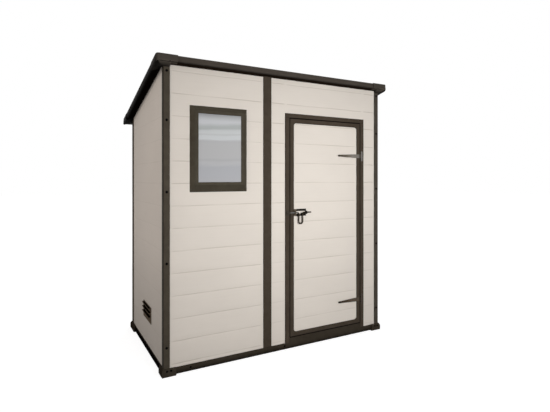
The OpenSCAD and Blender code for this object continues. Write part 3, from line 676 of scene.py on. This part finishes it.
def boarded_panel(node, place, u0, u1, z0, z1, depth, seed, holes=(), top=None, show=1.0, material=None):
    """A panel with board lines pressed into its face.

    place(u, out, z) turns panel coordinates into a point; holes are (u0, u1, z0, z1);
    top is the (point, normal) of the plane that cuts the panel off; show is how strong the lines are.
    """
    columns = grid_values(u0, u1, COLUMN_STEP, [u for h in holes for u in h[:2]])
    rows = [(z, None, 0.0) for z in [z0, z1] + [z for h in holes for z in h[2:]]]
    lines = line_heights(z0 + LINE_HALF + LINE_WAVE, z1 - LINE_HALF - LINE_WAVE)
    for line in lines:
        rows += [(line + share * LINE_HALF, line, deep) for share, deep in LINE_SECTION]
    for line in [z0] + lines:
        for k in (0.25, 0.5, 0.75):
            between = line + k * BOARD_PITCH
            if all(abs(between - r[0]) > 3 * LINE_HALF for r in rows) and z0 < between < z1:
                rows.append((between, None, 0.0))
    rows.sort(key=lambda r: r[0])
    bm = bmesh.new()
    mark = bm.verts.layers.float.new("line")
    grid = []
    for z, line, deep in rows:
        row = []
        for u in columns:
            strength = line_strength(u, line, u0, u1, seed) * deep * show if line else 0.0
            height = z + (line_wave(u, line, seed) if line else 0.0)
            vert = bm.verts.new(place(u, -LINE_DEPTH * strength, height))
            vert[mark] = strength
            row.append(vert)
        grid.append(row)
    for j in range(len(rows) - 1):
        for i in range(len(columns) - 1):
            u, z = (columns[i] + columns[i + 1]) / 2, (rows[j][0] + rows[j + 1][0]) / 2
            if not any(h[0] < u < h[1] and h[2] < z < h[3] for h in holes):
                bm.faces.new((grid[j][i], grid[j][i + 1], grid[j + 1][i + 1], grid[j + 1][i]))
    bmesh.ops.delete(bm, geom=[v for v in bm.verts if not v.link_faces], context="VERTS")
    if top:
        geom = bm.verts[:] + bm.edges[:] + bm.faces[:]
        bmesh.ops.bisect_plane(bm, geom=geom, plane_co=top[0], plane_no=top[1], clear_outer=True)
    edges = [e for e in bm.edges if e.is_boundary]
    inward = place(0, -depth, 0) - place(0, 0, 0)
    made = bmesh.ops.extrude_edge_only(bm, edges=edges)["geom"]
    rim = [g for g in made if isinstance(g, bmesh.types.BMVert)]
    for vert in rim:
        flat = vert.co - inward.normalized() * (vert.co - place(0, 0, 0)).dot(inward.normalized())
        vert.co = flat + inward
        vert[mark] = 0.0
    rim_edges = [g for g in made if isinstance(g, bmesh.types.BMEdge) and g.is_boundary]
    bmesh.ops.triangle_fill(bm, use_beauty=True, edges=rim_edges)
    piece(node + "_look", bm, BODY_OF[node], SLOT_OF[node], material, [node])


def front_like(face, sign):
    """place() for a panel that faces along Y; sign is -1 for the front and 1 for the back."""
    return lambda u, out, z: Vector((u, face + sign * out, z))


def side_like(face, sign):
    """place() for a panel that faces along X; sign is -1 for the left and 1 for the right."""
    return lambda u, out, z: Vector((face + sign * out, u, z))


def hole_behind(node, across, cover_u, cover_z):
    """A hole behind a node, smaller than the node by a cover on each side."""
    low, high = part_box(node)
    return (low[across] + cover_u, high[across] - cover_u, low.z + cover_z, high.z - cover_z)


def make_walls():
    for seed, node in enumerate(["window_wall", "wall_left_of_door", "wall_right_of_door", "wall_over_door"]):
        low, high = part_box(node)
        show = NARROW_LINES if high.x - low.x < NARROW else 1.0
        holes = [hole_behind("window_frame", 0, WINDOW_COVER, WINDOW_COVER)] if node == "window_wall" else []
        boarded_panel(node, front_like(low.y, -1), low.x, high.x, low.z, high.z, high.y - low.y, seed,
                      holes, show=show)
    for seed, node in enumerate(["back_wall_left", "back_wall_right"]):
        low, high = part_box(node)
        boarded_panel(node, front_like(high.y, 1), low.x, high.x, low.z, top_height(node)(high.y),
                      high.y - low.y, seed + 5)
    sides = [("left_wall", "left_vent", -1), ("right_wall", "right_vent", 1)]
    for seed, (node, vent, sign) in enumerate(sides):
        low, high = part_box(node)
        face = low.x if sign < 0 else high.x
        hole = hole_behind(vent, 1, VENT_COVER_Y, VENT_COVER_Z)
        point, normal = top_plane(node)
        top = (point + Vector((0, 0, SOFFIT_RISE_SIDE)), normal)
        boarded_panel(node, side_like(face, sign), low.y, high.y, low.z, high.z + SOFFIT_RISE_SIDE,
                      high.x - low.x, seed + 8, [hole], top, SIDE_LINES, "side_cream_resin_shaded")


def make_door():
    low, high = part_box("door_panel")
    boarded_panel("door_panel", front_like(low.y, -1), low.x, high.x, low.z, high.z, high.y - low.y, 12)
    low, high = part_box("door_rim")
    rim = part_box("door_panel")[0].x - low.x
    edge, face, back = POST_EDGE, low.y, high.y
    sections = [
        (0, back - edge, RIM_R), (0, face + edge, RIM_R),
        (edge * 0.3, face + edge * 0.3, RIM_R), (edge, face, RIM_R),
        (rim - edge, face, RIM_INNER_R), (rim - edge * 0.3, face + edge * 0.3, RIM_INNER_R),
        (rim, face + edge, RIM_INNER_R), (rim, back - edge, RIM_INNER_R),
        (rim - edge, back, RIM_INNER_R), (edge, back, RIM_R),
    ]
    loops = [rounded_loop(low.x + i, high.x - i, low.z + i, high.z - i, y, radius)
             for i, y, radius in sections]
    piece("door_rim_look", ring_solid(loops), "door", "brown_resin", stands_for=["door_rim"])


def make_door_gap_shade():
    """Black strips of painted shade in the gaps under and over the leaf, clear of it."""
    low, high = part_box("door_rim")
    bm = bmesh.new()
    for z0, z1 in ((low.z - DOOR_GAP, low.z - GAP_SHADE_CLEAR), (high.z + GAP_SHADE_CLEAR, high.z + DOOR_GAP)):
        ends = (low.y + GAP_SHADE_BACK, high.y)
        add_sweep(bm, [rounded_loop(low.x, high.x, z0, z1, y, GAP_SHADE_R, 3) for y in ends])
    piece("door_gap_shade", bm, "shed", "brown_resin", "gap_shade_black")


# ---------------- frame, roof, feet

def raise_side_rails():
    """Lifts the lower edges of the rails on the side walls to where the soffit meets the walls."""
    inside = abs(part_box("front_left_post")[1].x)
    middle = FASCIA_H - SOFFIT_RISE_SIDE
    move_look("wall_top_rails", 2, SOFFIT_RISE_SIDE,
              lambda p: abs(p.x) > inside + MM and ROOF_TOP(p.y) - p.z > middle)


def lower_floor():
    """Takes the floor's lower edges down, clear of the ground."""
    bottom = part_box("floor_left")[0].z
    for node in ("floor_left", "floor_right"):
        move_look(node, 2, -FLOOR_LOWER, lambda p: p.z < bottom + MM)


def widen_centre_post():
    """Takes the right side of the front centre post a little over the wall beside it."""
    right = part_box("front_centre_post")[1].x
    move_look("front_centre_post", 0, CENTRE_POST_EXTRA, lambda p: p.x > right - MM)


def lengthen_back_feet():
    """Takes the front ends of the back feet forward."""
    front = min(v.co.y for v in bpy.data.objects["corner_feet_look"].data.vertices if v.co.y > 0)
    move_look("corner_feet", 1, -BACK_FOOT_EXTRA, lambda p: 0 < p.y < front + MM)


def make_frame():
    """Posts, door frame, rails, roof panels, floor and feet: rounded copies, a few of them adjusted."""
    for node, material in (("front_left_post", "post_resin"), ("front_right_post", "olive_resin"),
                           ("back_left_post", "post_resin"), ("back_right_post", "olive_resin")):
        rounded_copy(node, POST_EDGE, material=material)
    for node in ("front_centre_post", "back_centre_post", "door_jamb_left", "door_jamb_right",
                 "door_head", "wall_top_rails", "roof_panel_left", "roof_panel_right"):
        rounded_copy(node, POST_EDGE)
    raise_side_rails()
    widen_centre_post()
    for node in ("door_sill", "floor_left", "floor_right"):
        rounded_copy(node, POST_EDGE, material="base_resin")
    lower_floor()
    rounded_copy("corner_feet", FOOT_EDGE, material="foot_resin")
    lengthen_back_feet()


def make_window():
    """The frame: a bevel from its outer edge, a fine groove where the bevel ends, and a flat face."""
    low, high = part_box("window_frame")
    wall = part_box("window_wall")[0].y
    face, side = low.y, wall - WINDOW_EDGE
    edge, inner, bottom = POST_EDGE, WINDOW_MEMBER, WINDOW_BOTTOM
    body = WINDOW_COVER + MM
    bevel, bevel_bottom = WINDOW_BEVEL, bottom - WINDOW_LIP
    groove = WINDOW_GROOVE
    # Each is how far it moves in from the outline, how far at the bottom, and its place from front to back
    sections = [
        (body, body, wall), (0, 0, wall), (0, 0, side + edge * 0.5), (edge * 0.2, edge * 0.2, side),
        (bevel, bevel_bottom, face),
        (bevel + groove, bevel_bottom + groove, face + groove),
        (bevel + 2 * groove, bevel_bottom + 2 * groove, face),
        (inner - edge, bottom - edge, face),
        (inner - edge * 0.3, bottom - edge * 0.3, face + edge * 0.3),
        (inner, bottom, face + edge), (inner, bottom, high.y), (body, body, high.y),
    ]
    loops = [rounded_loop(low.x + inset, high.x - inset, low.z + lower, high.z - inset, y, edge)
             for inset, lower, y in sections]
    piece("window_frame_look", ring_solid(loops), "shed", "brown_resin", "window_resin", ["window_frame"])


# ---------------- roof

def fascia_section(thick, height):
    """A fascia board's section as (in from its face, down from its top)."""
    points = [(thick, 0.0), (FASCIA_TOP_EDGE, 0.0), (FASCIA_TOP_EDGE * 0.3, FASCIA_TOP_EDGE * 0.3),
              (0.0, FASCIA_TOP_EDGE)]
    for k in range(FASCIA_STEPS + 1):
        a = math.radians(90 * k / FASCIA_STEPS)
        points.append((FASCIA_ROLL_IN * (1 - math.cos(a)), height - FASCIA_ROLL * (1 - math.sin(a))))
    points.append((thick, height))
    return points


def fascia_size(node):
    """(thickness, height) of a fascia board."""
    low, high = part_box(node)
    front = [v.co.z for v in NODES[node].data.vertices if v.co.y < low.y + SAME]
    return min(high.x - low.x, high.y - low.y), max(front) - min(front)


def outer_faces(left, right, front, back):
    """Places of the outer faces of four nodes."""
    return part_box(left)[0].x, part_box(right)[1].x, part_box(front)[0].y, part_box(back)[1].y


# The roof's height from front to back, the fascias' thickness and height, and where roof and walls end
ROOF_TOP = top_height("fascia_left")
FASCIA_T, FASCIA_H = fascia_size("fascia_left")
ROOF_FACES = outer_faces("fascia_left", "fascia_right", "fascia_front", "fascia_back")
WALL_FACES = outer_faces("left_wall", "right_wall", "window_wall", "back_wall_left")


def make_fascias():
    for node, sign in (("fascia_front", 1), ("fascia_back", -1)):
        low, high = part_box(node)
        face = low.y if sign > 0 else high.y
        section = [(face + sign * i, d) for i, d in fascia_section(*fascia_size(node))]
        bm = bmesh.new()
        add_sweep(bm, [[Vector((x, y, ROOF_TOP(y) - d)) for y, d in section] for x in (low.x, high.x)])
        piece(node + "_look", bm, "shed", "roof_resin", stands_for=[node])
    for node, sign in (("fascia_left", 1), ("fascia_right", -1)):
        low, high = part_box(node)
        face = low.x if sign > 0 else high.x
        section = [(face + sign * (i if i == FASCIA_T else i - FASCIA_OUT_SIDE), d)
                   for i, d in fascia_section(FASCIA_T, FASCIA_H)]
        bm = bmesh.new()
        add_sweep(bm, [[Vector((x, y, ROOF_TOP(y) - d)) for x, d in section] for y in (low.y, high.y)])
        piece(node + "_look", bm, "shed", "roof_resin", "side_roof_resin_shaded", [node])


def make_soffit():
    """Closes the overhang between the fascias' lower edges and the walls; its near-black resin is painted
    shade, darker still at the sides.
    """
    x0, x1, y0, y1 = ROOF_FACES
    outer = corners(x0 + FASCIA_T, x1 - FASCIA_T, y0 + FASCIA_T, y1 - FASCIA_T)
    inner = corners(*WALL_FACES)
    for name, sides, rise, material in (("soffit_ends", (0, 2), SOFFIT_RISE, "soffit_resin"),
                                        ("soffit_sides", (1, 3), SOFFIT_RISE_SIDE, "side_soffit_resin_shaded")):
        bm = bmesh.new()
        for k in sides:
            loops = []
            for n in (k, (k + 1) % 4):
                section = [(outer[n], 0.0), (outer[n], SOFFIT_T)]
                section += [(inner[n], rise + SOFFIT_T), (inner[n], rise)]
                loops.append([Vector((x, y, ROOF_TOP(y) - FASCIA_H + SOFFIT_GAP + up))
                              for (x, y), up in section])
            add_sweep(bm, loops)
        piece(name, bm, "shed", "roof_resin", material)


def cap_profile(turn):
    """A cap's section over a fascia: (out from the roof's edge, down from its top), from inside the lip.

    turn is how far its face turns under at the lower edge, in degrees.
    """
    low_out = CAP_SKIN + CAP_FLARE
    points = [(CAP_GAP, FASCIA_H + CAP_GAP), (CAP_GAP, -CAP_GAP),
              (-FASCIA_T, -CAP_GAP), (-FASCIA_T, -CAP_LIP)]
    for k in range(CAP_TOP_STEPS + 1):
        a = math.radians(90 * k / CAP_TOP_STEPS)
        points.append((CAP_SKIN - CAP_TOP_R * (1 - math.sin(a)), CAP_TOP_R * (1 - math.cos(a)) - CAP_LIP))
    for k in range(CAP_STEPS + 1):
        a = math.radians(turn * k / CAP_STEPS)
        points.append((low_out - CAP_LOW_R * (1 - math.cos(a)), FASCIA_H - CAP_LOW_R * (1 - math.sin(a))))
    return points


def cap_stations(corner, post, wall, sx, sy):
    """Sections along a cap's outline, each a dict.

    post is its (outer corner, inner corner) and wall its outer corner, all in plan. A section turns about
    centre and faces out; its underside ends at place, depth below the roof; side is 1 on the cap's side.
    """
    outer, inner = post
    turn = Vector((corner.x - sx * CAP_PLAN_R, corner.y - sy * CAP_PLAN_R))
    at_front, at_side = Vector((0, sy)), Vector((sx, 0))
    low = FASCIA_H + CAP_DROP
    front, beside = FASCIA_H - SOFFIT_RISE, FASCIA_H - SOFFIT_RISE_SIDE
    end_x, end_y = corner.x - sx * CAP_LENGTH, corner.y - sy * CAP_LENGTH
    past = inner.x - sx * MM
    rows = [(Vector((end_x, turn.y)), at_front, Vector((end_x, wall.y)), front, 0.0),
            (Vector((past, turn.y)), at_front, Vector((past, wall.y)), front, 0.0),
            (Vector((inner.x, turn.y)), at_front, Vector((inner.x, outer.y)), low, 0.0)]
    for k in range(CAP_STEPS + 1):
        a = math.radians(90 * k / CAP_STEPS)
        rows.append((turn, Vector((sx * math.sin(a), sy * math.cos(a))), outer, low, k / CAP_STEPS))
    rows.append((Vector((turn.x, inner.y)), at_side, Vector((wall.x, inner.y)), beside, 1.0))
    rows.append((Vector((turn.x, end_y)), at_side, Vector((wall.x, end_y)), beside, 1.0))
    return [dict(zip(("centre", "out", "place", "depth", "side"), row)) for row in rows]


def cap_shades(count, side, share):
    """The "shade" of each point of a cap's section: count points of its profile, then its underside."""
    low = 1.0 + (CAP_SIDE_SHADE - 1.0) * side
    high = 1.0 + (CAP_SIDE_TOP_SHADE - 1.0) * side
    under = CAP_SHADE * low
    light = CAP_TURN_LIGHT * (1.0 - side)
    turn = [low * (1.0 + light * (k / CAP_STEPS) ** 2) for k in range(CAP_STEPS + 1)]
    shades = [under] + [high] * (count - len(turn) - 1) + turn + [under] * 2
    return [share * shade for shade in shades]


def add_cap(bm, corner, post, wall, sx, sy):
    """Adds the cap of one corner of the roof."""
    loops, shades = [], []
    for station in cap_stations(corner, post, wall, sx, sy):
        lower = CAP_SIDE_DROP * station["side"]
        to_post = station["depth"] > FASCIA_H + CAP_DROP / 2
        profile = cap_profile(CAP_TURN_TO_POST if to_post else CAP_TURN)
        points = [(station["centre"] + station["out"] * (CAP_PLAN_R + p), d + lower * (d > FASCIA_H / 2))
                  for p, d in profile]
        points += [(station["place"], station["depth"]), (station["place"], station["depth"] - SOFFIT_T)]
        loops.append([Vector((q.x, q.y, ROOF_TOP(q.y) - d)) for q, d in points])
        shades.append(cap_shades(len(profile), station["side"], 1.0 if sy < 0 else CAP_BACK_SHADE))
    add_sweep(bm, loops, shades)


def add_cap_screw(bm, corner, sx):
    """Adds the small screw low on a front cap's face."""
    a = math.radians(CAP_SCREW_TURN)
    down = FASCIA_H - CAP_LOW_R * (1 - math.sin(a))
    x = corner.x - sx * (CAP_SCREW_FROM_END - CAP_SKIN - CAP_FLARE)
    y = corner.y - (CAP_SKIN + CAP_FLARE - CAP_LOW_R * (1 - math.cos(a)))
    screw_head(bm, (x, y, ROOF_TOP(y) - down), (0, -math.cos(a), -math.sin(a)), CAP_SCREW_R, CAP_SCREW_PROUD)


def make_caps():
    """Corner caps: a lip over the roof's edge, a face that flares downward, and a drop to the posts."""
    caps, screws = bmesh.new(), bmesh.new()
    caps.verts.layers.float.new("shade")
    for i, (side, sx) in enumerate((("left", -1), ("right", 1))):
        for j, (end, sy) in enumerate((("front", -1), ("back", 1))):
            low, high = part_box(f"{end}_{side}_post")
            xs = (low.x, high.x) if sx < 0 else (high.x, low.x)
            ys = (low.y, high.y) if sy < 0 else (high.y, low.y)
            post = [Vector(xy) for xy in zip(xs, ys)]
            corner, wall = (Vector((faces[i], faces[2 + j])) for faces in (ROOF_FACES, WALL_FACES))
            add_cap(caps, corner, post, wall, sx, sy)
            if sy < 0:
                add_cap_screw(screws, corner, sx)
    bmesh.ops.remove_doubles(caps, verts=caps.verts, dist=MERGE)
    piece("roof_corner_caps_look", caps, "shed", "roof_resin", "cap_resin", ["roof_corner_caps"])
    piece("cap_screws", screws, "shed", "brown_resin", "screw_black")


# ---------------- vents, hardware, screws

def make_vents():
    """Vents, with a black sheet of painted shade behind their blades."""
    for node, sign in (("left_vent", -1), ("right_vent", 1)):
        rounded_copy(node, VENT_EDGE, 2)
        low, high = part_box(node)
        wall = high.x if sign < 0 else low.x
        face = wall + sign * (VENT_T + SHADE_SHEET_GAP)
        outline = corners(low.y + VENT_BORDER + VENT_T, high.y - VENT_BORDER - VENT_T,
                          low.z + VENT_FOOT + VENT_T, high.z - VENT_HEAD)
        bm = bmesh.new()
        add_sweep(bm, [[Vector((x, y, z)) for y, z in outline] for x in (face, face - sign * SHADE_SHEET_T)])
        piece(node + "_shade_sheet", bm, "shed", "vent_resin", "vent_shade_black")


def thicken_bolt_bars():
    """Takes the inner edges of the bolt's two bars toward the rod."""
    rod = (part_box("bolt_rod")[0].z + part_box("bolt_rod")[1].z) / 2
    low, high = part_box("bolt_body")
    edge = (high.z - low.z) / 2 - BOLT_BAR
    for sign in (1, -1):
        move_look("bolt_body", 2, -sign * BOLT_BAR_EXTRA,
                  lambda p: edge - MM < sign * (p.z - rod) < edge + MM)


def make_bolt_plate():
    """The low plate behind the rod, on the hinges' side of the handle."""
    low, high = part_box("bolt_body")
    x0, x1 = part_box("bolt_handle")[1].x - BOLT_PLATE_LAP, high.x - MM
    z0, z1 = low.z + MM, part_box("bolt_rod")[0].z + MM
    bm = bmesh.new()
    add_sweep(bm, [rounded_loop(x0, x1, z0, z1, y, BOLT_PLATE_R) for y in (high.y, high.y - BOLT_PLATE_T)])
    piece("bolt_plate", bm, "door", SLOT_OF["bolt_body"], "bolt_body_steel")


def make_hardware():
    """Hinges and bolt, and the materials of the CAD nodes that show as they are."""
    for node, material in (("hinge_plates", "plate_steel"), ("hinge_straps", "strap_steel"),
                           ("bolt_body", "bolt_body_steel"), ("bolt_keeper", "keeper_steel")):
        rounded_copy(node, STEEL_EDGE, 2, material=material)
    thicken_bolt_bars()
    make_bolt_plate()
    for node, material in (("bolt_rod", "rod_steel"), ("bolt_handle", "dark_steel"),
                           ("roof_beam", "roof_resin"), ("window_pane", "frosted_pane")):
        NODES[node].data.materials.clear()
        NODES[node].data.materials.append(MATERIALS[material])


def make_screws():
    """Screws on the front posts, the front feet and the floor's front edge."""
    posts = bmesh.new()
    for node in ("front_left_post", "front_right_post"):
        low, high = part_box(node)
        for z in POST_SCREW_Z:
            screw_head(posts, ((low.x + high.x) / 2, low.y, z), (0, -1, 0))
    piece("post_screws", posts, "shed", "brown_resin", "screw_black")
    low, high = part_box("corner_feet")
    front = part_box("floor_left")[0].y
    places = [(x, low.y, FOOT_SCREW_Z) for d in FOOT_SCREW_FROM_END for x in (low.x + d, high.x - d)]
    places.append((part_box("front_left_post")[0].x + FLOOR_SCREW_FROM_POST, front, FLOOR_SCREW_Z))
    places.append((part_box("door_jamb_left")[0].x - SCREW_R, front, FLOOR_SCREW_Z))
    base = bmesh.new()
    for place in places:
        screw_head(base, place, (0, -1, 0), SMALL_SCREW_R)
    piece("base_screws", base, "shed", "brown_resin", "screw_black")


# ---------------- stage, light, camera

def make_stage():
    """The studio floor, a wide square on the ground."""
    bm = bmesh.new()
    square = corners(-FLOOR_HALF, FLOOR_HALF, -FLOOR_HALF, FLOOR_HALF)
    bm.faces.new([bm.verts.new((x, y, 0)) for x, y in square])
    mesh = mesh_of("studio_floor", bm)
    floor_material()
    mesh.materials.append(MATERIALS["studio_floor"])
    add_object("studio_floor", mesh)


def area_light(name, place, aim, size, power, spread, colour):
    data = bpy.data.lights.new(name, "AREA")
    data.color = colour
    data.spread = math.radians(spread)
    data.shape = "RECTANGLE"
    data.size, data.size_y = size
    data.energy = power
    lamp = add_object(name, data)
    lamp.location = place
    lamp.rotation_euler = (Vector(aim) - Vector(place)).to_track_quat("-Z", "Y").to_euler()


def make_light():
    """The lamps, and a world that is white where it is seen and dim where it lights."""
    world = bpy.data.worlds.new("studio")
    bpy.context.scene.world = world
    world.use_nodes = True
    graph = Graph(world.node_tree)
    fill = world.node_tree.nodes["Background"]
    fill.inputs["Color"].default_value = (*WHITE, 1)
    fill.inputs["Strength"].default_value = WORLD_FILL
    white = graph.node("Background", {"Color": (*WHITE, 1), "Strength": WORLD_WHITE})
    mix = graph.node("MixShader", {
        "Fac": seen_rays(graph), 1: fill.outputs["Background"], 2: white.outputs["Background"]})
    graph.feed(world.node_tree.nodes["World Output"].inputs["Surface"], mix.outputs["Shader"])
    for lamp in LAMPS:
        area_light(*lamp)


def make_camera():
    """The camera at the photograph's angle."""
    data = bpy.data.cameras.new("camera")
    data.sensor_width = CAMERA_SENSOR
    data.lens = CAMERA_LENS
    data.shift_x, data.shift_y = CAMERA_SHIFT
    data.clip_end = 200
    camera = add_object("camera", data)
    camera.location = CAMERA_PLACE
    camera.rotation_euler = (math.radians(90), 0, math.radians(CAMERA_TURN))
    bpy.context.scene.camera = camera


make_materials()
make_walls()
make_door()
make_door_gap_shade()
make_frame()
make_window()
make_fascias()
make_soffit()
make_caps()
make_vents()
make_hardware()
make_screws()
make_stage()
make_light()
make_camera()
bpy.context.scene.view_settings.view_transform = "Standard"
